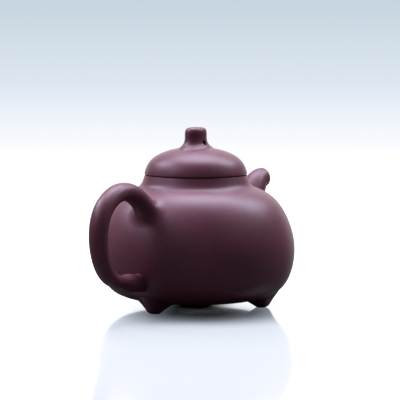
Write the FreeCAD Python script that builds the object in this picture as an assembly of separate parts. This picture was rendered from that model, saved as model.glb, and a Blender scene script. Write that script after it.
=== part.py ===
import FreeCAD, Part
import math
import os

# A small round teapot of unglazed stoneware clay, on three nub feet, with a loose domed lid.
# Millimetres. Origin on the pot's axis at the table, +Z up, +X towards the spout.

Vec = FreeCAD.Vector

# Pot wall, turned about Z. Its outline is a smooth curve over poles, named from the rim down.
rim_radius = 25.0
rim_height = 64.3
rim_round = 0.5
collar_spread = 0.9
collar_drop = 2.6
neck_spread = 1.6
neck_drop = 5.8
shoulder_spread = 9.0
shoulder_drop = 7.5
haunch_inset = 6.4
haunch_drop = 14.2
belly_radius = 48.5
belly_top_height = 35.2
belly_bottom_height = 20.9
heel_inset = 5.9
heel_rise = 3.1
base_radius = 26.5
base_height = 3.6
wall = 3.0
collar_joint_drop = 6.6
base_joint_inset = 2.5

# Lid, turned about Z, resting on the rim with a locating flange in the mouth.
lid_rise = 13.5
lid_top_radius = 6.8
lid_crown_radius = 14.9
lid_crown_rise = 12.0
lid_brow_inset = 1.2
lid_brow_rise = 7.1
lid_edge_rise = 1.2
lid_wall = 3.0
lid_clearance = 0.4
flange_wall = 2.4
flange_depth = 9.0
flange_chamfer = 0.8

# Oval bridge knob, its long side along X, with a cross hole along Y above the lid's vent.
knob_length = 12.9
knob_width = 9.45
knob_height = 9.8
knob_crown = 4.2
knob_waist_rise = 2.8
knob_foot_spread = 1.6
knob_foot_rise = 0.5
knob_flare = 6.4
knob_flare_sink = 1.8
knob_hole_radius = 1.3
knob_hole_rise = 2.3
vent_radius = 1.0

# Ear handle in the XZ plane, an oval rod along a smooth line. Reaches are outward from the belly.
handle_thickness = 8.9
handle_width = 9.9
handle_tail_thickness = 5.0
handle_tail_width = 5.0
handle_taper = 2.0
handle_width_taper = 4.0
handle_root_swell = 4.5
handle_root_swell_length = 14.0
handle_end_swell = 2.9
handle_end_spread = 2.0
handle_end_swell_length = 20.0
handle_end_swell_rise = 8.0
handle_root_sink = 10.5
handle_root_drop = 17.9
handle_rise_reach = 2.1
handle_rise_drop = 1.0
handle_top_reach = 26.1
handle_top_drop = 4.8
handle_back_reach = 31.6
handle_back_height = 38.4
handle_tail_reach = 23.7
handle_tail_height = 18.9
handle_low_reach = 11.8
handle_low_height = 17.9
handle_end_sink = 6.5
handle_end_height = 15.6
handle_section_count = 23

# Beak spout in the XZ plane, hollow, thinning from root to lip. Reaches are outward from the belly.
spout_root_sink = 9.5
spout_root_drop = 30.3
spout_rise_sink = 0.5
spout_rise_drop = 17.3
spout_throat_reach = 2.4
spout_throat_drop = 5.6
spout_lip_reach = 11.1
spout_lip_drop = 5.0
spout_root_radius = 11.0
spout_lip_radius = 4.7
spout_taper = 1.0
spout_wall = 1.7
spout_section_count = 7

# Pierced ball filter inside the wall, over the spout's hole. Each ring is its hole count and its angle.
strainer_radius = 10.6
strainer_wall = 1.6
strainer_hole_radius = 0.9
strainer_rings = ((1, 0.0), (6, 26.0), (12, 50.0))

# Three nub feet on a circle inside the belly, the first below the handle: blunt cones that lean out.
foot_inset = 15.3
first_foot_turn = 177.2
foot_lean = 13.0
foot_tip_sink = 0.2
foot_tip_radius = 2.2
foot_ball_radius = 3.3
foot_ball_rise = 0.7
foot_cone_radius = 5.2
foot_cone_rise = 2.8
foot_root_radius = 7.6
foot_root_rise = 4.9
foot_flare_radius = 10.8
foot_flare_rise = 7.4
foot_names = ("foot_rear", "foot_front_right", "foot_front_left")

UP = Vec(0, 0, 1)
ACROSS = Vec(0, 1, 0)
ORIGIN = Vec(0, 0, 0)
SECTION_POINTS = 12
mouth_radius = rim_radius - wall
flange_radius = mouth_radius - lid_clearance
flange_bore_radius = flange_radius - flange_wall
lid_top_height = rim_height + lid_rise
collar_joint_height = rim_height - collar_joint_drop
base_joint_radius = base_radius - base_joint_inset
floor_height = base_height + wall
clear_height = lid_top_height + knob_height + rim_height

pot_poles = [
    (rim_radius, rim_height - rim_round),
    (rim_radius + collar_spread, rim_height - collar_drop),
    (rim_radius + neck_spread, rim_height - neck_drop),
    (rim_radius + shoulder_spread, rim_height - shoulder_drop),
    (belly_radius - haunch_inset, rim_height - haunch_drop),
    (belly_radius, belly_top_height),
    (belly_radius, belly_bottom_height),
    (belly_radius - heel_inset, base_height + heel_rise),
    (base_radius, base_height),
    (base_radius / 2, base_height),
    (0, base_height),
]

lid_poles = [
    (0, lid_top_height),
    (lid_top_radius, lid_top_height),
    (lid_crown_radius, rim_height + lid_crown_rise),
    (rim_radius - lid_brow_inset, rim_height + lid_brow_rise),
    (rim_radius, rim_height + lid_edge_rise),
    (rim_radius, rim_height + rim_round),
]

handle_poles = [
    (handle_root_sink - belly_radius, rim_height - handle_root_drop),
    (-handle_rise_reach - belly_radius, rim_height - handle_rise_drop),
    (-handle_top_reach - belly_radius, rim_height - handle_top_drop),
    (-handle_back_reach - belly_radius, handle_back_height),
    (-handle_tail_reach - belly_radius, handle_tail_height),
    (-handle_low_reach - belly_radius, handle_low_height),
    (handle_end_sink - belly_radius, handle_end_height),
]

spout_poles = [
    (belly_radius - spout_root_sink, rim_height - spout_root_drop),
    (belly_radius - spout_rise_sink, rim_height - spout_rise_drop),
    (belly_radius + spout_throat_reach, rim_height - spout_throat_drop),
    (belly_radius + spout_lip_reach, rim_height - spout_lip_drop),
]


def smooth(points):
    """A clamped cubic curve over (x, z) poles, in the XZ plane."""
    spline = Part.BSplineCurve()
    spline.buildFromPoles([Vec(x, 0, z) for x, z in points], False, 3)
    return spline


def line(start, end):
    return Part.makeLine(Vec(start[0], 0, start[1]), Vec(end[0], 0, end[1]))


def quarter_round(radius, height, rise):
    """A quarter round from a flat face at this height to the upright side at this radius."""
    inset = abs(rise)
    bend = 1 - math.sqrt(0.5)
    start = Vec(radius - inset, 0, height)
    middle = Vec(radius - inset * bend, 0, height + rise * bend)
    return Part.Arc(start, middle, Vec(radius, 0, height + rise)).toShape()


def turned(edges):
    """The solid that a closed outline in the XZ plane sweeps once round Z."""
    return Part.Face(Part.Wire(edges)).revolve(ORIGIN, UP, 360)


def moved_in(points, depth):
    """An outline's poles moved inwards: each corner goes to where its two moved sides meet."""
    normals = []
    for (x0, z0), (x1, z1) in zip(points, points[1:]):
        length = math.hypot(x1 - x0, z1 - z0)
        normals.append(((z1 - z0) / length, (x0 - x1) / length))
    before = [normals[0]] + normals
    after = normals + [normals[-1]]
    moved = []
    for (x, z), (bx, bz), (ax, az) in zip(points, before, after):
        reach = depth / (1 + bx * ax + bz * az)
        moved.append((x + (bx + ax) * reach, z + (bz + az) * reach))
    return moved


def oval(centre, along, half_thickness, half_width):
    """A closed smooth oval across a rod: thickness in the XZ plane, width along Y."""
    outward = ACROSS.cross(along)
    points = []
    for step in range(SECTION_POINTS):
        angle = 2 * math.pi * step / SECTION_POINTS
        points.append(
            centre + outward * (half_thickness * math.cos(angle)) + ACROSS * (half_width * math.sin(angle))
        )
    ring = Part.BSplineCurve()
    ring.interpolate(points, True)
    return Part.Wire(ring.toShape())


def rod(poles, sections, half_sizes, overrun=0):
    """A solid lofted through ovals along a curve, and straight on past its end by the overrun."""
    curve = smooth(poles)
    whole = curve.length()
    rings = []
    for step in range(sections):
        share = step / (sections - 1)
        at = curve.parameterAtDistance(share * whole, curve.FirstParameter)
        along = Vec(*curve.tangent(at)[0])
        rings.append(oval(curve.value(at), along, *half_sizes(share, whole)))
    if overrun:
        rings.append(oval(curve.value(at) + along * overrun, along, *half_sizes(1, whole)))
    return Part.makeLoft(rings, True, False)


def pot_filled():
    """Everything inside the pot's outer face, up to the rim."""
    return turned([
        line((0, base_height), (0, rim_height)),
        line((0, rim_height), (rim_radius - rim_round, rim_height)),
        quarter_round(rim_radius, rim_height, -rim_round),
        smooth(pot_poles).toShape(),
    ])


def pot_cavity():
    """The hollow inside the wall, carried straight up through the mouth."""
    poles = moved_in(pot_poles, wall)
    return turned([
        line((0, floor_height), (0, clear_height)),
        line((0, clear_height), (mouth_radius, clear_height)),
        line((mouth_radius, clear_height), poles[0]),
        smooth(poles).toShape(),
    ])


def lid_filled():
    """Everything inside the lid's outer face, down to the rim."""
    return turned([
        smooth(lid_poles).toShape(),
        quarter_round(rim_radius, rim_height, rim_round),
        line((rim_radius - rim_round, rim_height), (0, rim_height)),
        line((0, rim_height), (0, lid_top_height)),
    ])


def lid_hollow():
    """The hollow under the lid's crown, no wider than the flange's bore."""
    poles = moved_in(lid_poles, lid_wall)
    crown = turned([
        smooth(poles).toShape(),
        line(poles[-1], (poles[-1][0], 0)),
        line((poles[-1][0], 0), (0, 0)),
        line((0, 0), poles[0]),
    ])
    return crown.common(Part.makeCylinder(flange_bore_radius, clear_height))


def lid_flange():
    """The ring below the lid, its lower outer edge chamfered so that it finds the mouth."""
    low = rim_height - flange_depth
    return turned([
        line((flange_bore_radius, low), (flange_radius - flange_chamfer, low)),
        line((flange_radius - flange_chamfer, low), (flange_radius, low + flange_chamfer)),
        line((flange_radius, low + flange_chamfer), (flange_radius, rim_height)),
        line((flange_radius, rim_height), (flange_bore_radius, rim_height)),
        line((flange_bore_radius, rim_height), (flange_bore_radius, low)),
    ])


def lid_vent():
    """The air hole down the axis, from the knob's cross hole through the crown."""
    low = lid_top_height - 2 * lid_wall
    high = lid_top_height + knob_hole_rise
    return Part.makeCylinder(vent_radius, high - low, Vec(0, 0, low))


def bridge_knob(lid):
    """The knob turned about Z, narrowed along Y to an oval and bored across."""
    half = knob_length / 2
    top = lid_top_height + knob_height
    low = lid_top_height - lid_wall
    flare = (half + knob_flare, lid_top_height - knob_flare_sink)
    outline = [
        (0, top),
        (half - knob_crown, top),
        (half, top),
        (half, top - knob_crown),
        (half, lid_top_height + knob_waist_rise),
        (half + knob_foot_spread, lid_top_height + knob_foot_rise),
        flare,
    ]
    knob = turned([
        smooth(outline).toShape(),
        line(flare, (flare[0], low)),
        line((flare[0], low), (0, low)),
        line((0, low), (0, top)),
    ])
    narrow = FreeCAD.Matrix()
    narrow.scale(1, knob_width / knob_length, 1)
    knob = knob.transformGeometry(narrow)
    hole_height = lid_top_height + knob_hole_rise
    hole = Part.makeCylinder(knob_hole_radius, 2 * knob_length, Vec(0, -knob_length, hole_height), ACROSS)
    return knob.cut(lid).cut(hole).cut(lid_vent())


def handle_half_sizes(share, whole):
    """Half the handle's thickness and width: slimmer towards the tail, swelling at both roots."""
    from_root = max(0, 1 - share * whole / handle_root_swell_length) ** 2
    risen = min(1, max(0, (handle_end_swell_length - (1 - share) * whole) / handle_end_swell_rise))
    from_end = risen * risen * (3 - 2 * risen)
    thickness = handle_thickness + (handle_tail_thickness - handle_thickness) * share ** handle_taper
    width = handle_width + (handle_tail_width - handle_width) * share ** handle_width_taper
    thickness += handle_root_swell * from_root + handle_end_swell * from_end
    width += handle_root_swell * from_root + handle_end_spread * from_end
    return thickness / 2, width / 2


def spout_half_sizes(share, whole):
    radius = spout_lip_radius + (spout_root_radius - spout_lip_radius) * (1 - share) ** spout_taper
    return radius, radius


def bore_half_sizes(share, whole):
    radius = spout_half_sizes(share, whole)[0] - spout_wall
    return radius, radius


def spout_bore():
    """The spout's channel, run on past the lip so that it opens there."""
    return rod(spout_poles, spout_section_count, bore_half_sizes, overrun=spout_lip_radius)


def strainer_dome(cavity):
    """A pierced ball shell, as much of it as stands inside the cavity."""
    curve = smooth(spout_poles)
    inside = curve.toShape().common(cavity)
    seat = max((vertex.Point for vertex in inside.Vertexes), key=lambda point: point.x)
    inward = -Vec(*curve.tangent(curve.parameter(seat))[0])
    side = inward.cross(ACROSS)
    shell = Part.makeSphere(strainer_radius, seat)
    shell = shell.cut(Part.makeSphere(strainer_radius - strainer_wall, seat))
    dome = shell.common(cavity)
    for count, angle in strainer_rings:
        tilt = math.radians(angle)
        for step in range(count):
            turn = 2 * math.pi * step / count
            spread = side * math.cos(turn) + ACROSS * math.sin(turn)
            way = inward * math.cos(tilt) + spread * math.sin(tilt)
            dome = dome.cut(Part.makeCylinder(strainer_hole_radius, 2 * strainer_radius, seat, way))
    return dome


def foot(turn, pot):
    """A nub foot turned about its own leaning axis, cut flat at the table and to the pot's base."""
    flare = (foot_flare_radius, foot_flare_rise)
    tip = (0, -foot_tip_sink)
    outline = [
        tip,
        (foot_tip_radius, -foot_tip_sink),
        (foot_ball_radius, foot_ball_rise),
        (foot_cone_radius, foot_cone_rise),
        (foot_root_radius, foot_root_rise),
        flare,
    ]
    nub = turned([
        smooth(outline).toShape(),
        line(flare, (0, foot_flare_rise)),
        line((0, foot_flare_rise), tip),
    ])
    nub.rotate(ORIGIN, ACROSS, -foot_lean)
    nub.translate(Vec(belly_radius - foot_inset, 0, 0))
    nub.rotate(ORIGIN, UP, turn)
    table = Part.makeCylinder(2 * belly_radius, belly_radius, Vec(0, 0, -belly_radius))
    return nub.cut(table).cut(pot)


def build():
    pot = pot_filled()
    cavity = pot_cavity()
    bore = spout_bore()
    lid = lid_filled()
    shell = pot.cut(cavity)
    collar_block = Part.makeCylinder(belly_radius, rim_height, Vec(0, 0, collar_joint_height))
    base_block = Part.makeCylinder(base_joint_radius, floor_height + wall)
    pieces = {
        "body_wall": shell.cut(collar_block).cut(base_block).cut(bore),
        "base_disc": shell.common(base_block),
        "neck_collar": shell.common(collar_block),
        "spout": rod(spout_poles, spout_section_count, spout_half_sizes).cut(pot).cut(bore),
        "strainer_dome": strainer_dome(cavity),
        "handle": rod(handle_poles, handle_section_count, handle_half_sizes).cut(pot),
        "lid_dome": lid.cut(lid_hollow()).cut(lid_vent()),
        "lid_flange": lid_flange(),
        "bridge_knob": bridge_knob(lid),
    }
    for step, name in enumerate(foot_names):
        pieces[name] = foot(first_foot_turn + step * 360 / len(foot_names), pot)
    return pieces


os.makedirs("parts", exist_ok=True)
for name, shape in build().items():
    solids = shape.Solids
    print(f"{name}: {len(solids)} solid, {shape.Volume:.1f} mm3, valid {shape.isValid()}")
    solids[0].exportStep(f"parts/{name}.step")
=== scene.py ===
import math

import bpy
import numpy as np
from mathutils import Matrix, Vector


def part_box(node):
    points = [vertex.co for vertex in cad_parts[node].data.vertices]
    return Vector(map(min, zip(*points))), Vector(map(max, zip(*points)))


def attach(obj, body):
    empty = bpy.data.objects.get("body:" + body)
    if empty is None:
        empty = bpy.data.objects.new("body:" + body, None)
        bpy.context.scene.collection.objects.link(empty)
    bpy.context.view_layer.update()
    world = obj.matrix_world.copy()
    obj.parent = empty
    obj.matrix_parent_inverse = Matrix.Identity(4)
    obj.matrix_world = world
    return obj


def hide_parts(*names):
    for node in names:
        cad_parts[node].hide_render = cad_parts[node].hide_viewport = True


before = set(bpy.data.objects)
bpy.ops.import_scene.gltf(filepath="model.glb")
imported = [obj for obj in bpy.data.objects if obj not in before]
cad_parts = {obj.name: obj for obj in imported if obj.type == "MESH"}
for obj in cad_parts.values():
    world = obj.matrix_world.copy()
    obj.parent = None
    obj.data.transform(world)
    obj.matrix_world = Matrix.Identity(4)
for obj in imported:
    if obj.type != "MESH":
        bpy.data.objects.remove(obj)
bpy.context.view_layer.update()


# Body wall: the belly of the pot, beaten and turned from purple-brown stoneware clay about 3 mm thick.
# It runs from the joint under the neck to the joint round the base disc. Outside it is burnished, inside
# it is left raw, and a window in it behind the spout lets the tea through.

MM = 0.001
rim_radius = 25.0 * MM
rim_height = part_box("neck_collar")[1].z
rim_round = 0.25 * MM
belly_radius = 48.5 * MM
base_radius = 26.5 * MM
base_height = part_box("base_disc")[0].z
wall = 3.0 * MM
collar_joint_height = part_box("body_wall")[1].z
base_joint_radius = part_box("base_disc")[1].x
window_half = 5.5 * MM
window_height = 42.0 * MM
TURN_COLUMNS = 256
OUTLINE_ROWS = 150
SHARE_STEPS = 4001
WELD_STEP = 0.0002 * MM
LOW_SHARE = 0.7

pot_poles = np.array([
    (rim_radius, rim_height - rim_round),
    (rim_radius + 0.9 * MM, rim_height - 2.6 * MM),
    (rim_radius + 1.6 * MM, rim_height - 5.8 * MM),
    (rim_radius + 9.0 * MM, rim_height - 7.5 * MM),
    (belly_radius - 6.4 * MM, rim_height - 14.2 * MM),
    (belly_radius, 35.2 * MM),
    (belly_radius, 20.9 * MM),
    (belly_radius - 5.9 * MM, base_height + 3.1 * MM),
    (base_radius, base_height),
    (base_radius / 2, base_height),
    (0, base_height),
])


def smooth(poles, share):
    """A clamped cubic B-spline over poles, at shares 0 to 1 of its run: three rounds of mixing each pole
    with the one before it, by how far the share lies between their two knots."""
    poles = np.asarray(poles, float)
    spans = len(poles) - 3
    knots = np.concatenate([np.zeros(3), np.arange(spans + 1), np.full(3, spans)])
    at = np.clip(np.asarray(share, float) * spans, 0, spans)
    span = np.minimum(at.astype(int), spans - 1)
    mixed = [poles[span + k] for k in range(4)]
    for level in (1, 2, 3):
        for k in range(3, level - 1, -1):
            low = knots[span + k]
            part = ((at - low) / (knots[span + k + 4 - level] - low))[..., None]
            mixed[k] = (1 - part) * mixed[k - 1] + part * mixed[k]
    return mixed[3]


def moved_in(poles, depth):
    """An outline's poles moved inwards: each corner goes to where its two moved sides meet."""
    sides = np.diff(poles, axis=0)
    normals = np.stack([sides[:, 1], -sides[:, 0]], 1) / np.linalg.norm(sides, axis=1)[:, None]
    before = np.concatenate([normals[:1], normals])
    after = np.concatenate([normals, normals[-1:]])
    return poles + (before + after) * (depth / (1 + (before * after).sum(1)))[:, None]


def share_where(poles, column, value, start=0.0):
    """The share of a curve at which a falling coordinate comes down to a value."""
    shares = np.linspace(start, 1, SHARE_STEPS)
    return float(np.interp(-value, -smooth(poles, shares)[:, column], shares))


def corner_round(centre, radius, start, stop, count=7):
    """An arc of an outline: centre plus radius times cosine and sine of angles in degrees."""
    angle = np.radians(np.linspace(start, stop, count))
    return np.asarray(centre) + radius * np.stack([np.cos(angle), np.sin(angle)], 1)


def unit(vectors):
    return vectors / np.maximum(np.linalg.norm(vectors, axis=-1, keepdims=True), 1e-12)


def patch(points, normals, finish=0, keep=None):
    """A grid of points and normals as the four corners of its cells, with each cell's finish."""
    def cells(grid):
        return np.stack([grid[:-1, :-1], grid[1:, :-1], grid[1:, 1:], grid[:-1, 1:]], 2).reshape(-1, 4, 3)
    corner, shade = cells(points), cells(normals)
    if keep is not None:
        corner, shade = corner[keep.ravel()], shade[keep.ravel()]
    return corner, shade, np.full(len(corner), finish)


def turned(outline):
    """An outline of (radius, height) carried round Z: radius times cosine and sine of the turn. Walked with
    the clay on its right hand, its normals are its slope turned a quarter to the left."""
    slope = unit(np.gradient(outline, axis=0, edge_order=min(2, len(outline) - 1)))
    lean = np.stack([-slope[:, 1], slope[:, 0]], 1)
    turn = np.linspace(0, 2 * np.pi, TURN_COLUMNS + 1)
    turn[-1] = 0

    def carried(pairs):
        across, up = pairs[:, :1], pairs[:, 1:]
        return np.stack(np.broadcast_arrays(across * np.cos(turn), across * np.sin(turn), up), 2)
    return carried(outline), carried(lean)


def clay_piece(name, patches):
    """One closed mesh from patches of cells. Each cell is wound to agree with its normals, corners that
    fall on one another are welded, and a cell with one side welded shut becomes a triangle."""
    corner, shade, finish = (np.concatenate(parts) for parts in zip(*patches))
    facing = np.cross(corner[:, 2] - corner[:, 0], corner[:, 3] - corner[:, 1])
    back = (facing * shade.sum(1)).sum(1) < 0
    corner[back] = corner[back, ::-1]
    shade[back] = shade[back, ::-1]
    keys = np.round(corner.reshape(-1, 3) / WELD_STEP).astype(np.int64)
    first, index = np.unique(keys, axis=0, return_index=True, return_inverse=True)[1:]
    places = corner.reshape(-1, 3)[first]
    index = index.reshape(-1, 4)
    shut = index == np.roll(index, -1, axis=1)
    whole = np.flatnonzero(~shut.any(1))
    slim = np.flatnonzero(shut.sum(1) == 1)
    keep = (shut[slim].argmax(1)[:, None] + np.array([1, 2, 3])) % 4
    faces = index[whole].tolist() + index[slim[:, None], keep].tolist()
    normals = np.concatenate([shade[whole].reshape(-1, 3), shade[slim[:, None], keep].reshape(-1, 3)])
    mesh = bpy.data.meshes.new(name)
    mesh.from_pydata(places, [], faces)
    mesh.polygons.foreach_set("use_smooth", np.ones(len(faces), bool))
    finishes = np.concatenate([finish[whole], finish[slim]]).astype(np.int32)
    mesh.polygons.foreach_set("material_index", finishes)
    mesh.normals_split_custom_set(unit(normals))
    mesh.update()
    piece = bpy.data.objects.new(name, mesh)
    bpy.context.scene.collection.objects.link(piece)
    return piece


class Shade:
    """A socket of a material's nodes. Sums and products of sockets, or with numbers, are Math nodes."""

    def __init__(self, tree, socket=None):
        self.tree = tree
        self.socket = socket

    def node(self, kind, inputs=None, out=0, **settings):
        """A new node of a kind: its settings are set first, then its sockets from numbers or links."""
        made = self.tree.nodes.new(kind)
        stops = settings.pop("stops", ())
        for key, value in settings.items():
            setattr(made, key, value)
        for at, (position, colour) in enumerate(stops):
            ramp = made.color_ramp.elements
            stop = ramp[at] if at < 2 else ramp.new(position)
            stop.position = position
            stop.color = (*colour, 1)
        for key, value in (inputs or {}).items():
            if isinstance(value, Shade):
                self.tree.links.new(value.socket, made.inputs[key])
            else:
                made.inputs[key].default_value = value
        return Shade(self.tree, made.outputs[out] if made.outputs else None)

    def maths(self, operation, first, second):
        return self.node("ShaderNodeMath", {0: first, 1: second}, operation=operation)

    def __add__(self, other):
        return self.maths("ADD", self, other)

    def __radd__(self, other):
        return self.maths("ADD", other, self)

    def __sub__(self, other):
        return self.maths("SUBTRACT", self, other)

    def __rsub__(self, other):
        return self.maths("SUBTRACT", other, self)

    def __mul__(self, other):
        return self.maths("MULTIPLY", self, other)

    def __rmul__(self, other):
        return self.maths("MULTIPLY", other, self)

    def noise(self, place, scale, detail=2.0, roughness=0.5):
        return self.node("ShaderNodeTexNoise", {
            "Vector": place, "Scale": scale, "Detail": detail, "Roughness": roughness,
        })

    def between(self, value, low, high, ramp="LINEAR"):
        """0 below low, 1 above high, and an even or a soft ramp between."""
        ends = {0: value, 1: low, 2: high, 3: 0.0, 4: 1.0}
        return self.node("ShaderNodeMapRange", ends, interpolation_type=ramp)

    def mixed(self, share, first, second):
        """A colour between two colours."""
        return self.node("ShaderNodeMix", {0: share, 6: first, 7: second}, out=2, data_type="RGBA")

    def scaled(self, place, factors):
        return self.node("ShaderNodeVectorMath", {0: place, 1: factors}, operation="MULTIPLY")


CLOUD_SCALE = 55.0
MOTTLE_SCALE = 420.0
SAND_SCALE = 2600.0
DOT_SCALE = 1100.0
STREAK_SCALE = (45.0, 45.0, 1500.0)
DARK_GRAIN = (0.012, 0.006, 0.007, 1)


def clay_finish(name, deep, warm, speck, rough, relief, streaks):
    """Fired stoneware clay: two close browns in soft clouds, sparse pale and dark sand grains, faint level
    streaks from the burnishing tool, and a skin whose shine and relief follow the grain."""
    material = bpy.data.materials.new(name)
    material.use_nodes = True
    tree = material.node_tree
    tree.nodes.clear()
    clay = Shade(tree)
    place = clay.node("ShaderNodeTexCoord", out="Object")
    cloud = clay.noise(place, CLOUD_SCALE, 4.0)
    mottle = clay.noise(place, MOTTLE_SCALE, 3.0)
    sand = clay.noise(place, SAND_SCALE, 2.0, 0.6)
    level = clay.noise(clay.scaled(place, STREAK_SCALE), 1.0, 2.0)
    dots = clay.node("ShaderNodeTexVoronoi", {"Vector": place, "Scale": DOT_SCALE})
    picked = clay.node("ShaderNodeTexVoronoi", {"Vector": place, "Scale": DOT_SCALE}, out="Color")
    chosen = clay.node("ShaderNodeSeparateColor", {0: picked})
    pale = (1 - clay.between(dots, 0.16, 0.30)) * clay.between(chosen, 0.80, 0.82)
    dark = (1 - clay.between(dots, 0.14, 0.26)) * (1 - clay.between(chosen, 0.12, 0.14))
    tone = clay.mixed(clay.between(cloud * 0.7 + mottle * 0.3, 0.32, 0.68), (*deep, 1), (*warm, 1))
    tone = clay.mixed(clay.between(sand, 0.35, 0.75) * 0.22, tone, (*speck, 1))
    tone = clay.mixed(pale * 0.45, tone, (*speck, 1))
    tone = clay.mixed(dark * 0.35, tone, DARK_GRAIN)
    gloss = rough + (cloud - 0.5) * 0.12 + (mottle - 0.5) * 0.10 + (sand - 0.5) * 0.10 + pale * 0.10
    height = sand * 0.45 + mottle * 0.55 + level * streaks - dark * 0.5 + pale * 0.25
    bump = clay.node("ShaderNodeBump", {"Strength": 1.0, "Distance": relief, "Height": height})
    skin = clay.node("ShaderNodeBsdfPrincipled", {
        "Base Color": tone, "Roughness": gloss, "Normal": bump, "IOR": 1.5,
        "Specular Tint": (0.90, 0.80, 1.0, 1),
    })
    clay.node("ShaderNodeOutputMaterial", {"Surface": skin})
    return material


burnished = clay_finish(
    "burnished_clay", deep=(0.096, 0.017, 0.035), warm=(0.124, 0.026, 0.045), speck=(0.19, 0.09, 0.11),
    rough=0.44, relief=0.022 * MM, streaks=0.5)
raw = clay_finish(
    "raw_clay", deep=(0.075, 0.036, 0.038), warm=(0.115, 0.058, 0.056), speck=(0.26, 0.17, 0.14),
    rough=0.74, relief=0.06 * MM, streaks=0.9)


def finished(piece, body, slot, *nodes):
    """Gives a piece its two clay finishes and its body, and hides the solids that it stands for; its slot is
    not used.
    """
    piece.data.materials.append(burnished)
    piece.data.materials.append(raw)
    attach(piece, body)
    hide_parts(*nodes)


inner_poles = moved_in(pot_poles, wall)
collar_share = share_where(pot_poles, 1, collar_joint_height)
base_share = share_where(pot_poles, 0, base_joint_radius, LOW_SHARE)
inner_collar_share = share_where(inner_poles, 1, collar_joint_height)
inner_base_share = share_where(inner_poles, 0, base_joint_radius, LOW_SHARE)
wall_outside = smooth(pot_poles, np.linspace(collar_share, base_share, OUTLINE_ROWS))
wall_inside = smooth(inner_poles, np.linspace(inner_base_share, inner_collar_share, OUTLINE_ROWS))
outer_points, outer_normals = turned(wall_outside)
inner_points, inner_normals = turned(wall_inside)

window_columns = int(round(window_half / belly_radius * TURN_COLUMNS / (2 * np.pi)))
in_height = np.abs((wall_outside[1:, 1] + wall_outside[:-1, 1]) / 2 - window_height) < window_half
near_front = np.arange(TURN_COLUMNS)
near_front = np.minimum(near_front, TURN_COLUMNS - 1 - near_front) < window_columns
window = in_height[:, None] & near_front[None, :]
top_row, low_row = np.flatnonzero(in_height)[[0, -1]] + (0, 1)
side_columns = np.arange(-window_columns, window_columns + 1) % TURN_COLUMNS
inside_out = inner_points[::-1]


def window_side(outer_edge, inner_edge, facing):
    """One reveal of the window: a strip between an edge of the outer face and the same edge inside."""
    points = np.stack([outer_edge, inner_edge])
    return patch(points, np.broadcast_to(np.asarray(facing, float), points.shape), 1)


def edge_at(grid, row):
    return grid[row, side_columns]


def edge_down(grid, column):
    return grid[top_row:low_row + 1, side_columns[column]]


body_wall = clay_piece("body_wall_visual", [
    patch(outer_points, outer_normals, 0, ~window),
    patch(*turned(np.stack([wall_outside[-1], wall_inside[0]])), 1),
    patch(inner_points, inner_normals, 1, ~window[::-1]),
    patch(*turned(np.stack([wall_inside[-1], wall_outside[0]])), 1),
    window_side(edge_at(outer_points, top_row), edge_at(inside_out, top_row), (0, 0, -1)),
    window_side(edge_at(outer_points, low_row), edge_at(inside_out, low_row), (0, 0, 1)),
    window_side(edge_down(outer_points, 0), edge_down(inside_out, 0), (0, 1, 0)),
    window_side(edge_down(outer_points, -1), edge_down(inside_out, -1), (0, -1, 0)),
])
finished(body_wall, "pot", "pot_clay", "body_wall")


# Base disc: the round slab of clay that closes the pot below, luted to the foot of the wall.
# Its underside is burnished with the belly, and its upper side is the raw floor of the pot.

BASE_ROWS = 30
base_outside = smooth(pot_poles, np.linspace(base_share, 1, BASE_ROWS))
base_inside = smooth(inner_poles, np.linspace(1, inner_base_share, BASE_ROWS))
base_disc = clay_piece("base_disc_visual", [
    patch(*turned(base_outside)),
    patch(*turned(base_inside), 1),
    patch(*turned(np.stack([base_inside[-1], base_outside[0]])), 1),
])
finished(base_disc, "pot", "pot_clay", "base_disc")


# Neck collar: the short coil added on the shoulder and thrown up into the rim that the lid sits on.
# Its seat is trimmed flat, and both edges of the seat are wiped round with a damp leather.

NECK_ROWS = 40
mouth_radius = rim_radius - wall
inner_edge = 0.4 * MM
neck_outside = smooth(pot_poles, np.linspace(0, collar_share, NECK_ROWS))
neck_inside = smooth(inner_poles, np.linspace(inner_collar_share, 0, NECK_ROWS))
outer_lip = corner_round((rim_radius - rim_round, rim_height - rim_round), rim_round, 90, 0)
inner_lip = corner_round((mouth_radius + inner_edge, rim_height - inner_edge), inner_edge, 180, 90)
neck_bore = np.stack([neck_inside[-1], inner_lip[0]])
outer_lip[-1] = neck_outside[0]
neck_collar = clay_piece("neck_collar_visual", [
    patch(*turned(neck_outside)),
    patch(*turned(np.stack([neck_outside[-1], neck_inside[0]])), 1),
    patch(*turned(neck_inside), 1),
    patch(*turned(neck_bore), 1),
    patch(*turned(inner_lip)),
    patch(*turned(np.stack([inner_lip[-1], outer_lip[0]]))),
    patch(*turned(outer_lip)),
])
finished(neck_collar, "pot", "pot_clay", "neck_collar")


# Handle: a rolled oval rod of clay bent into an ear, with its two ends luted to the wall opposite the
# spout. It thins towards the tail and swells at both ends, and the joins are filled with slip and smoothed.

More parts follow.
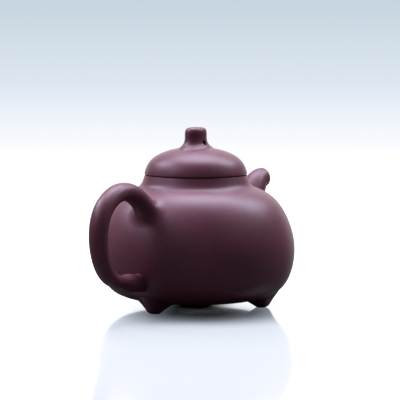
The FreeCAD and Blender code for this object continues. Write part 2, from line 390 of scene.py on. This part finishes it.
ROUND_COLUMNS = 96
ROD_ROWS = 80
SKIRT_ROWS = 18
TRIAL_ROWS = 140
PATH_STEPS = 2001
FACE_ROWS = 600
handle_middle = 0.5
handle_taper = 2
handle_width_taper = 4
handle_plug = 1.5 * MM
handle_thickness = 8.9 * MM
handle_width = 9.9 * MM
handle_tail_thickness = 5.0 * MM
handle_tail_width = 5.0 * MM
handle_root_swell = 4.5 * MM
handle_root_swell_length = 14.0 * MM
handle_end_swell = 2.9 * MM
handle_end_spread = 2.0 * MM
handle_end_swell_length = 20.0 * MM
handle_end_swell_rise = 8.0 * MM
handle_poles = np.array([
    (10.5 * MM - belly_radius, rim_height - 17.9 * MM),
    (-2.1 * MM - belly_radius, rim_height - 1.0 * MM),
    (-26.1 * MM - belly_radius, rim_height - 4.8 * MM),
    (-31.6 * MM - belly_radius, 38.4 * MM),
    (-23.7 * MM - belly_radius, 18.9 * MM),
    (-11.8 * MM - belly_radius, 17.9 * MM),
    (6.5 * MM - belly_radius, 15.6 * MM),
])
turns = np.linspace(0, 2 * np.pi, ROUND_COLUMNS, endpoint=False)


def rod_skin(poles, half_sizes, share):
    """Points of a rod's face at shares of its path's length, one column for each turn: the path's point,
    plus the half thickness times cosine square to the path, plus the half width times sine along Y."""
    even = np.linspace(0, 1, PATH_STEPS)
    steps = np.linalg.norm(np.diff(smooth(poles, even), axis=0), axis=1)
    length = np.concatenate([[0], np.cumsum(steps)])
    at = np.interp(share * length[-1], length, even)
    nudge = 1e-4
    way = unit(smooth(poles, at + nudge) - smooth(poles, at - nudge))
    across, wide = half_sizes(share, length[-1])
    square = np.stack([way[..., 1], -way[..., 0]], -1)
    flat = smooth(poles, at) + square * (across * np.cos(turns))[..., None]
    return np.stack([flat[..., 0], wide * np.sin(turns), flat[..., 1]], -1)


def turned_face(poles):
    """A turned outline as close points and their outward normals, for setting other pieces against it."""
    outline = smooth(poles, np.linspace(0, 1, FACE_ROWS))
    slope = unit(np.gradient(outline, axis=0))
    return outline, np.stack([-slope[:, 1], slope[:, 0]], 1)


def over(points, face):
    """How far points stand off a turned face, and that face's normals below them."""
    outline, leans = face
    radius = np.hypot(points[..., 0], points[..., 1])
    flat = np.stack([radius, points[..., 2]], -1)
    nearest = ((flat[..., None, :] - outline) ** 2).sum(-1).argmin(-1)
    lean = leans[nearest]
    height = ((flat - outline[nearest]) * lean).sum(-1)
    level = points[..., :2] / np.maximum(radius, 1e-9)[..., None]
    return height, np.concatenate([level * lean[..., :1], lean[..., 1:]], -1)


def rows_to(skin, outside, inside, face, clear):
    """Rows of a skin from a share that stands free, to where each column is the clear distance off
    a face."""
    trial = np.linspace(outside, inside, TRIAL_ROWS)
    height = over(skin(np.repeat(trial[:, None], ROUND_COLUMNS, 1)), face)[0] - clear
    at = (height < 0).argmax(0)
    columns = np.arange(ROUND_COLUMNS)
    above, below = height[at - 1, columns], height[at, columns]
    stop = trial[at - 1] + (trial[at] - trial[at - 1]) * above / (above - below)
    return skin(outside + (stop - outside) * np.linspace(0, 1, ROD_ROWS)[:, None])


def rooted(skin, outside, inside, face, clear, fillet, pull=0.5, sink=0.03 * MM):
    """A skin's rows down to its root on a face, and the face's normals there. The fillet is a cubic Bezier
    curve that leaves the skin along the skin and lands on the face, further out, along the face."""
    rows = rows_to(skin, outside, inside, face, clear)
    edge = rows[-1]
    along = unit(rows[-1] - rows[-2])
    foot = edge + unit(edge - edge.mean(0)) * np.reshape(fillet, (-1, 1))
    height, normal = over(foot, face)
    foot = foot - normal * (height + sink)[..., None]
    gap = edge - foot
    inward = unit(gap - normal * (gap * normal).sum(-1, keepdims=True))
    reach = pull * np.linalg.norm(gap, axis=-1, keepdims=True)
    share = np.linspace(0, 1, SKIRT_ROWS)[1:, None, None]
    skirt = (
        (1 - share) ** 3 * edge + 3 * (1 - share) ** 2 * share * (edge + along * reach)
        + 3 * (1 - share) * share ** 2 * (foot + inward * reach) + share ** 3 * foot
    )
    return np.concatenate([rows, skirt]), normal


def ring_normals(grid, outward_row):
    """Normals of rings that close on themselves: the difference along crossed with the difference round,
    on the side that points away from the middle of the given row."""
    along = np.gradient(grid, axis=0, edge_order=2)
    normals = unit(np.cross(along, np.roll(grid, -1, 1) - np.roll(grid, 1, 1)))
    ring = grid[outward_row]
    return normals * np.sign(((ring - ring.mean(0)) * normals[outward_row]).sum())


def closed(grid):
    return np.concatenate([grid, grid[:, :1]], 1)


def plug(ring, normal, depth):
    """A fan from a ring to a point behind its middle, which closes a piece inside what it is joined to."""
    middle = ring.mean(0) - normal.mean(0) * depth
    points = closed(np.stack([ring, np.broadcast_to(middle, ring.shape)]))
    return patch(points, np.broadcast_to(-normal.mean(0), points.shape), 1)


def handle_skin(share):
    def half_sizes(share, length):
        from_root = np.clip(1 - share * length / handle_root_swell_length, 0, 1) ** 2
        risen = (handle_end_swell_length - (1 - share) * length) / handle_end_swell_rise
        risen = np.clip(risen, 0, 1)
        from_end = risen ** 2 * (3 - 2 * risen)
        thickness = handle_thickness + (handle_tail_thickness - handle_thickness) * share ** handle_taper
        width = handle_width + (handle_tail_width - handle_width) * share ** handle_width_taper
        thickness = thickness + handle_root_swell * from_root + handle_end_swell * from_end
        width = width + handle_root_swell * from_root + handle_end_spread * from_end
        return thickness / 2, width / 2
    return rod_skin(handle_poles, half_sizes, share)


root_lean = 1.0 * MM * np.cos(turns)
root_clear = 4.8 * MM - root_lean
root_fillet = 8.5 * MM - root_lean
end_clear = 0.5 * MM
end_fillet = 0.6 * MM
pot_face = turned_face(pot_poles)
upper, root_normal = rooted(handle_skin, handle_middle, 0.0, pot_face, root_clear, root_fillet)
lower, end_normal = rooted(handle_skin, handle_middle, 1.0, pot_face, end_clear, end_fillet)
handle_grid = np.concatenate([upper[::-1], lower[1:]])
handle_normals = ring_normals(handle_grid, len(upper))
handle_normals[0] = root_normal
handle_normals[-1] = end_normal
handle = clay_piece("handle_visual", [
    patch(closed(handle_grid), closed(handle_normals)),
    plug(handle_grid[0], root_normal, handle_plug),
    plug(handle_grid[-1], end_normal, handle_plug),
])
finished(handle, "pot", "pot_clay", "handle")


# Spout: a short beak rolled over a tapered stick and luted over the window in the wall.
# Its lip is cut level with the rim and wiped a little outwards, and its channel narrows towards the lip.

LIP_ROWS = 9
spout_poles = np.array([
    (belly_radius - 9.5 * MM, rim_height - 30.3 * MM),
    (belly_radius - 0.5 * MM, rim_height - 17.3 * MM),
    (belly_radius + 2.4 * MM, rim_height - 5.6 * MM),
    (belly_radius + 11.1 * MM, rim_height - 5.0 * MM),
])
spout_root_radius = 11.0 * MM
spout_lip_radius = 4.7 * MM
spout_wall = 1.7 * MM
spout_clear = 1.6 * MM
spout_fillet = 3.6 * MM
lip_flare = 0.4 * MM
lip_flare_share = 0.14


def spout_skin(share, inset=0.0):
    def half_sizes(share, length):
        radius = spout_lip_radius + (spout_root_radius - spout_lip_radius) * (1 - share)
        radius = radius + lip_flare * np.clip(1 - (1 - share) / lip_flare_share, 0, 1) ** 2 - inset
        return radius, radius
    return rod_skin(spout_poles, half_sizes, share)


spout_outer, spout_normal = rooted(spout_skin, 1.0, 0.0, pot_face, spout_clear, spout_fillet)
channel = rows_to(lambda share: spout_skin(share, spout_wall), 1.0, 0.0, pot_face, 0.0)
lip_turn = np.linspace(0, np.pi, LIP_ROWS)[1:-1, None, None]
lip_middle = (spout_outer[0] + channel[0]) / 2
lip_half = (spout_outer[0] - channel[0]) / 2
lip_way = unit(spout_outer[0].mean(0) - spout_outer[1].mean(0))
lip_rings = lip_middle + lip_half * np.cos(lip_turn) + lip_way * (spout_wall / 2 * np.sin(lip_turn))
spout_grid = np.concatenate([spout_outer[::-1], lip_rings, channel])
spout_normals = ring_normals(spout_grid, SKIRT_ROWS)
spout_normals[0] = spout_normal
spout_seat = np.stack([channel[-1], spout_outer[-1]])
spout = clay_piece("spout_visual", [
    patch(closed(spout_grid), closed(spout_normals)),
    patch(closed(spout_seat), closed(np.stack([-spout_normal, -spout_normal])), 1),
])
finished(spout, "pot", "pot_clay", "spout")


# Strainer: a pressed ball of clay, pierced with a bamboo pin and luted inside over the window.
# Its solid already has every hole, so it only takes the raw clay of the inside.

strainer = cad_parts["strainer_dome"]
strainer.data.materials.clear()
strainer.data.materials.append(raw)


# Feet: three nubs of clay pinched on under the belly, one below the handle and two towards the spout.
# Each is a blunt cone that leans outward, rubbed flat where it stands and smoothed into the base.

foot_circle = belly_radius - 15.3 * MM
first_foot_turn = math.radians(177.2)
foot_lean = math.radians(-13.0)
foot_poles = np.array([
    (0, -0.2), (2.2, -0.2), (3.3, 0.7), (5.2, 2.8), (7.6, 4.9), (10.8, 7.4),
]) * MM
foot_clear = 0.8 * MM
foot_fillet = 3.4 * MM
foot_pull = 0.42
foot_plug = 1.0 * MM
foot_up = np.array((math.sin(foot_lean), 0, math.cos(foot_lean)))
foot_side = np.array((math.cos(foot_lean), 0, -math.sin(foot_lean)))
foot_round = foot_side * np.cos(turns)[:, None] + np.array((0, 1, 0)) * np.sin(turns)[:, None]


def foot_skin(share):
    """The foot's face at shares of its outline: out from its leaning axis by the outline's radius, and up
    that axis by its rise, but never below the table."""
    outline = smooth(foot_poles, share)
    points = np.array((foot_circle, 0, 0)) + foot_up * outline[..., 1:] + foot_round * outline[..., :1]
    points[..., 2] = np.maximum(points[..., 2], 0)
    return points


foot_grid, foot_normal = rooted(foot_skin, 0.0, 1.0, pot_face, foot_clear, foot_fillet, foot_pull)
foot_normals = ring_normals(foot_grid, ROD_ROWS // 2)
foot_normals[0] = (0, 0, -1)
foot_normals[-1] = foot_normal


def spun(grid, turn):
    """A grid turned about Z."""
    spin = np.array([(math.cos(turn), -math.sin(turn), 0), (math.sin(turn), math.cos(turn), 0), (0, 0, 1)])
    return grid @ spin.T


for order, node in enumerate(("foot_rear", "foot_front_right", "foot_front_left")):
    turn = first_foot_turn + order * 2 * math.pi / 3
    foot = clay_piece(node + "_visual", [
        patch(closed(spun(foot_grid, turn)), closed(spun(foot_normals, turn))),
        plug(spun(foot_grid[-1], turn), spun(foot_normal, turn), foot_plug),
    ])
    finished(foot, "pot", "pot_clay", node)


# Lid dome: the turned cap that rests on the rim and carries the pot's curve on up to the knob.
# It is burnished outside, hollowed and left raw inside, and pierced at the top by the air hole.

LID_ROWS = 90
HOLLOW_ROWS = 60
lid_rise = 13.5 * MM
lid_top = rim_height + lid_rise
lid_wall = 3.0 * MM
vent_radius = 1.0 * MM
seam = 0.45 * MM
seam_depth = 1.6 * MM
flange_radius = mouth_radius - 0.4 * MM
flange_bore = flange_radius - 2.4 * MM
lid_poles = np.array([
    (0, lid_top),
    (6.8 * MM, lid_top),
    (14.9 * MM, rim_height + 12.0 * MM),
    (rim_radius - 1.2 * MM, rim_height + 7.1 * MM),
    (rim_radius, rim_height + 1.2 * MM),
    (rim_radius, rim_height + seam + rim_round),
])
hollow_poles = moved_in(lid_poles, lid_wall)


def share_at_radius(poles, radius):
    """The share of a curve at which its radius first grows to a value."""
    shares = np.linspace(0, 1, SHARE_STEPS)
    return float(np.interp(radius, np.maximum.accumulate(smooth(poles, shares)[:, 0]), shares))


lid_outside = smooth(lid_poles, np.linspace(share_at_radius(lid_poles, vent_radius), 1, LID_ROWS))
lid_edge = corner_round((rim_radius - rim_round, rim_height + seam + rim_round), rim_round, 0, -90)
hollow_start = share_at_radius(hollow_poles, flange_bore)
hollow_stop = share_at_radius(hollow_poles, vent_radius)
lid_hollow = smooth(hollow_poles, np.linspace(hollow_start, hollow_stop, HOLLOW_ROWS))
lid_edge[0] = lid_outside[-1]
seam_roof = np.array([lid_edge[-1], (rim_radius - seam_depth, rim_height + seam)])
seam_back = np.array([seam_roof[-1], (rim_radius - seam_depth, rim_height)])
lid_seat = np.array([seam_back[-1], (flange_bore, rim_height)])
lid_dome = clay_piece("lid_dome_visual", [
    patch(*turned(lid_outside)),
    patch(*turned(lid_edge)),
    patch(*turned(seam_roof)),
    patch(*turned(seam_back)),
    patch(*turned(lid_seat)),
    patch(*turned(np.stack([lid_seat[-1], lid_hollow[0]])), 1),
    patch(*turned(lid_hollow), 1),
    patch(*turned(np.stack([lid_hollow[-1], lid_outside[0]])), 1),
])
finished(lid_dome, "lid", "lid_clay", "lid_dome")


# Lid flange: the plain ring under the lid that drops into the mouth and keeps the lid from sliding off.
# Its lower outer edge is chamfered so that it finds the mouth.

FLANGE_ROWS = 12
flange_low = rim_height - 9.0 * MM
flange_chamfer = 0.8 * MM
flange_corners = [
    (flange_radius, rim_height), (flange_radius, flange_low + flange_chamfer),
    (flange_radius - flange_chamfer, flange_low), (flange_bore, flange_low), (flange_bore, rim_height),
]
flange_pairs = zip(flange_corners, flange_corners[1:] + flange_corners[:1])
flange_sides = [np.linspace(start, stop, FLANGE_ROWS) for start, stop in flange_pairs]
lid_flange = clay_piece("lid_flange_visual", [patch(*turned(side), 1) for side in flange_sides])
finished(lid_flange, "lid", "lid_clay", "lid_flange")


# Bridge knob: an oval post pinched from the same clay, flaring into the lid, to lift the lid by.
# A cross hole is pierced through it above the air hole, and its top is rubbed round.

SIDE_ROWS = 400
HOLE_ROWS = 6
BORE_ROWS = 16
knob_half = 6.45 * MM
knob_depth = 9.45 * MM
knob_narrow = knob_depth / (2 * knob_half)
knob_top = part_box("bridge_knob")[1].z
knob_crown = 4.2 * MM
knob_poles = np.array([
    (0, knob_top),
    (knob_half - knob_crown, knob_top),
    (knob_half, knob_top),
    (knob_half, knob_top - knob_crown),
    (knob_half, lid_top + 2.8 * MM),
    (knob_half + 1.6 * MM, lid_top + 0.5 * MM),
    (knob_half + 6.4 * MM, lid_top - 1.8 * MM),
])
knob_hole_radius = 1.3 * MM
knob_hole_height = lid_top + 2.3 * MM
knob_clear = 0.2 * MM
knob_fillet = 0.9 * MM
knob_pull = 0.4
knob_plug = 0.5 * MM
knob_side_share = 0.4


def knob_skin(share):
    """The knob's face at shares of its outline: ovals about Z, as wide as the outline along X and narrowed
    along Y."""
    outline = smooth(knob_poles, share)
    across = outline[..., 0] * np.cos(turns)
    deep = outline[..., 0] * knob_narrow * np.sin(turns)
    return np.stack([across, deep, outline[..., 1]], -1)


lid_face = turned_face(lid_poles)
knob_grid, knob_normal = rooted(knob_skin, 0.0, 1.0, lid_face, knob_clear, knob_fillet, knob_pull)
knob_normals = ring_normals(knob_grid, ROD_ROWS // 2)
knob_normals[0] = (0, 0, 1)
knob_normals[-1] = knob_normal

hole_margin = 0.3 * MM
hole_columns = int(math.ceil((knob_hole_radius + hole_margin) / knob_half * ROUND_COLUMNS / (2 * np.pi)))
front_heights = knob_grid[:ROD_ROWS, ROUND_COLUMNS // 4, 2]
hole_rows = np.flatnonzero(np.abs(front_heights - knob_hole_height) < knob_hole_radius + hole_margin)
hole_steps = np.arange(-hole_columns, hole_columns + 1)
side_outline = smooth(knob_poles, np.linspace(1, knob_side_share, SIDE_ROWS))
side_slope = np.gradient(side_outline[:, 0], side_outline[:, 1])


def knob_side(across, height, side):
    """Points and normals of the oval post's face on one side, above places across X and up Z: the depth
    that completes the oval of that height."""
    radius = np.interp(height, side_outline[:, 1], side_outline[:, 0])
    slope = np.interp(height, side_outline[:, 1], side_slope)
    deep = side * knob_narrow * np.sqrt(np.maximum(radius ** 2 - across ** 2, 0))
    normals = np.stack([across, deep / knob_narrow ** 2, -radius * slope], -1)
    return np.stack([across, deep, height], -1), unit(normals)


def hole_border(column):
    """The grid's own points round a block of cells, in order, on the side whose middle column is given."""
    columns = (column + hole_steps * (1 if column < ROUND_COLUMNS / 2 else -1)) % ROUND_COLUMNS
    sides = [
        (np.full(len(columns), hole_rows[0]), columns),
        (hole_rows[1:], np.full(len(hole_rows) - 1, columns[-1])),
        (np.full(len(columns) - 1, hole_rows[-1]), columns[::-1][1:]),
        (hole_rows[::-1][1:], np.full(len(hole_rows) - 1, columns[0])),
    ]
    rows, across = (np.concatenate(parts) for parts in zip(*sides))
    return knob_grid[rows, across], knob_normals[rows, across]


def hole_face(column, side):
    """The cells between the border of the block and the round hole, all on the post's own face."""
    border, border_normals = hole_border(column)
    angle = np.arctan2(border[:, 2] - knob_hole_height, border[:, 0])
    share = np.linspace(0, 1, HOLE_ROWS)[:, None]
    across = (1 - share) * border[:, 0] + share * knob_hole_radius * np.cos(angle)
    height = (1 - share) * border[:, 2] + share * (knob_hole_height + knob_hole_radius * np.sin(angle))
    points, normals = knob_side(across, height, side)
    points[0], normals[0] = border, border_normals
    return points, normals, angle


knob_keep = np.ones((len(knob_grid) - 1, ROUND_COLUMNS), bool)
knob_faces = []
for column, side in ((ROUND_COLUMNS // 4, 1), (3 * ROUND_COLUMNS // 4, -1)):
    knob_keep[hole_rows[0]:hole_rows[-1], column - hole_columns:column + hole_columns] = False
    knob_faces.append(hole_face(column, side))
(front, front_normals, hole_angle), (rear, rear_normals, _) = knob_faces
bore_share = np.linspace(0, 1, BORE_ROWS)[:, None, None]
bore = (1 - bore_share) * front[-1] + bore_share * rear[-1]
bore_normals = np.stack([-np.cos(hole_angle), 0 * hole_angle, -np.sin(hole_angle)], 1)
bridge_knob = clay_piece("bridge_knob_visual", [
    patch(closed(knob_grid), closed(knob_normals), 0, knob_keep),
    patch(front, front_normals),
    patch(rear, rear_normals),
    patch(bore, np.broadcast_to(bore_normals, bore.shape), 1),
    plug(knob_grid[-1], knob_normal, knob_plug),
])
finished(bridge_knob, "lid", "lid_clay", "bridge_knob")


# Table: a plain pale slab with a polished face, so the pot stands on its own soft reflection.
# To the camera its face is partly self-lit, so that it reads as white, and the rest takes the lamps' shadows.
# A pool of shade is laid under the pot and in front of it, and far off the slab fades into the backdrop.

FLOOR_RADIUS = 5.0
FLOOR_COLUMNS = 96
FLOOR_DROP = 0.02 * MM
PAINTED_SHADE_MIDDLE = (-0.0142, -0.0146, 0)
PAINTED_SHADE_EDGE = (0.008, 0.056)
UNDER_EDGE = (0.006, 0.022)
FADE_EDGE = (0.35, 1.5)
GLOW_SHARE = 0.59
GLOW_LOSS = 0.8
GLOW_LOSS_EDGE = (0.2, 1.2)
TONE_EDGE = (0.04, 0.13)
PAINTED_SHADE_NEAR_TONE = (0.60, 0.67, 0.77, 1)
WIDE_TONE = (0.80, 0.83, 0.88, 1)
DARK_SLAB = (0.05, 0.05, 0.055, 1)
PALE_SLAB = (0.31, 0.316, 0.322, 1)
PAINTED_SHADE_UNDER_BASE = (0.004, 0.003, 0.003, 1)
FAR_STOPS = ((0.24, (0.96, 0.97, 0.99)), (0.60, (0.78, 0.84, 0.92)), (0.96, (0.716, 0.791, 0.871)))
floor_turn = np.linspace(0, 2 * np.pi, FLOOR_COLUMNS, endpoint=False)
floor_round = np.stack([np.cos(floor_turn), np.sin(floor_turn), 0 * floor_turn], 1)
floor_rings = np.array([0.0, 0.3, 0.8, 2.0, FLOOR_RADIUS])
floor_grid = closed(floor_rings[:, None, None] * floor_round)
floor_grid[..., 2] = -FLOOR_DROP
table = clay_piece("table", [patch(floor_grid, np.broadcast_to((0, 0, 1.0), floor_grid.shape))])
table_finish = bpy.data.materials.new("polished_white")
table_finish.use_nodes = True
table_finish.node_tree.nodes.clear()
white = Shade(table_finish.node_tree)
seen = white.node("ShaderNodeLightPath", out="Is Camera Ray")
spot = white.node("ShaderNodeTexCoord", out="Object")
reach = white.node("ShaderNodeVectorMath", {0: spot}, out="Value", operation="LENGTH")
# Painted shade: the floor's glow and the slab's own colour darken towards a point just in front of the pot,
# standing in for its shadow.
shade_ends = {0: spot, 1: PAINTED_SHADE_MIDDLE}
from_shade = white.node("ShaderNodeVectorMath", shade_ends, out="Value", operation="DISTANCE")
clear = white.between(from_shade, *PAINTED_SHADE_EDGE, "SMOOTHSTEP")
shown = clear * (1 - GLOW_LOSS * white.between(reach, *GLOW_LOSS_EDGE)) * seen
# Painted shade round the pot: the floor's glow is darker and bluer within a few centimetres of the pot than
# further out.
pale_tone = white.mixed(white.between(reach, *TONE_EDGE), PAINTED_SHADE_NEAR_TONE, WIDE_TONE)
lit_tone = white.mixed(shown * GLOW_SHARE, (0, 0, 0, 1), pale_tone)
slab_tone = white.mixed(clear * seen, DARK_SLAB, PALE_SLAB)
slab = white.node("ShaderNodeBsdfPrincipled", {
    "Base Color": slab_tone, "Roughness": 0.08, "IOR": 1.5,
    "Emission Color": lit_tone, "Emission Strength": 1.0,
})
far_tone = white.node("ShaderNodeValToRGB", {0: reach * (1 / FLOOR_RADIUS)}, stops=FAR_STOPS)
far = white.node("ShaderNodeEmission", {"Color": far_tone, "Strength": 1.0})
# Painted shade under the base: a near-black diffuse sheet takes over the floor within about 2 cm of the pot's
# axis.
under = white.node("ShaderNodeBsdfDiffuse", {"Color": PAINTED_SHADE_UNDER_BASE})
out_of_dark = white.between(reach, *UNDER_EDGE, "SMOOTHSTEP")
near = white.node("ShaderNodeMixShader", {0: out_of_dark, 1: under, 2: slab})
fade = white.between(reach, *FADE_EDGE, "SMOOTHSTEP") * seen
table_face = white.node("ShaderNodeMixShader", {0: fade, 1: near, 2: far})
white.node("ShaderNodeOutputMaterial", {"Surface": table_face})
table.data.materials.append(table_finish)


# Studio: a pale backdrop that only the camera sees, and round the pot a dim room with a bright far side.
# Four soft boxes light the pot: a broad one above, one behind on each side, and a small one in front.
# The camera stands low on the handle's side, with a long lens.

DIM_ROOM = (0.17, 0.17, 0.18, 1)
BRIGHT_ROOM = (1.6, 1.62, 1.66, 1)
BRIGHT_EDGE = (0.72, 0.87)
LOW_BACKDROP = (0.716, 0.791, 0.871, 1)
HIGH_BACKDROP = (0.571, 0.665, 0.745, 1)
BACKDROP_EDGE = (-0.022, 0.018)
LAMP_TONE = (0.86, 0.91, 1.0)
LAMP_DISTANCE = 1.0
camera_place = Vector((-0.741195, -0.509869, 0.130640))
camera_way = Vector((0.82204, 0.56274, -0.08705))
world = bpy.data.worlds.new("studio")
bpy.context.scene.world = world
world.use_nodes = True
world.node_tree.nodes.clear()
room = Shade(world.node_tree)
toward = room.node("ShaderNodeTexCoord", out="Generated")
depth_ends = {0: toward, 1: tuple(camera_way)}
depth = room.node("ShaderNodeVectorMath", depth_ends, out="Value", operation="DOT_PRODUCT")
rise = room.node("ShaderNodeSeparateXYZ", {0: toward}, out="Z")
room_tone = room.mixed(room.between(depth, *BRIGHT_EDGE), DIM_ROOM, BRIGHT_ROOM)
backdrop = room.mixed(room.between(rise, *BACKDROP_EDGE), LOW_BACKDROP, HIGH_BACKDROP)
room_seen = room.node("ShaderNodeLightPath", out="Is Camera Ray")
sky_tone = room.mixed(room_seen, room_tone, backdrop)
sky = room.node("ShaderNodeBackground", {"Color": sky_tone, "Strength": 1.0})
room.node("ShaderNodeOutputWorld", {"Surface": sky})

camera_left = Vector((-camera_way.y, camera_way.x, 0)).normalized()
camera_back = Vector((-camera_way.x, -camera_way.y, 0)).normalized()
pot_middle = Vector((0, 0, 45 * MM))


def soft_lamp(name, toward_camera, left, up, wide, tall, watts):
    """A soft box at the lamps' distance along a direction from the pot, facing the pot."""
    way = (camera_back * toward_camera + camera_left * left + Vector((0, 0, up))).normalized()
    lamp = bpy.data.lights.new(name, "AREA")
    lamp.shape = "RECTANGLE"
    lamp.size = wide
    lamp.size_y = tall
    lamp.energy = watts
    lamp.color = LAMP_TONE
    holder = bpy.data.objects.new(name, lamp)
    holder.location = pot_middle + way * LAMP_DISTANCE
    holder.rotation_euler = way.to_track_quat("Z", "Y").to_euler()
    bpy.context.scene.collection.objects.link(holder)


soft_lamp("lamp_over", -0.28, 0.0, 1.0, 0.7, 0.7, 15.8)
soft_lamp("lamp_left", -0.27, 0.83, 0.90, 0.35, 0.42, 7.4)
soft_lamp("lamp_side", 0.33, 0.66, 0.67, 0.3, 0.3, 2.0)
soft_lamp("lamp_right", -0.30, -0.58, 0.76, 0.45, 0.55, 8.3)

camera = bpy.data.objects.new("camera", bpy.data.cameras.new("camera"))
camera.data.sensor_width = 36.0
camera.data.lens = 166.8
camera.location = camera_place
camera.rotation_euler = camera_way.to_track_quat("-Z", "Y").to_euler()
bpy.context.scene.collection.objects.link(camera)
bpy.context.scene.camera = camera
bpy.context.scene.view_settings.view_transform = "Standard"
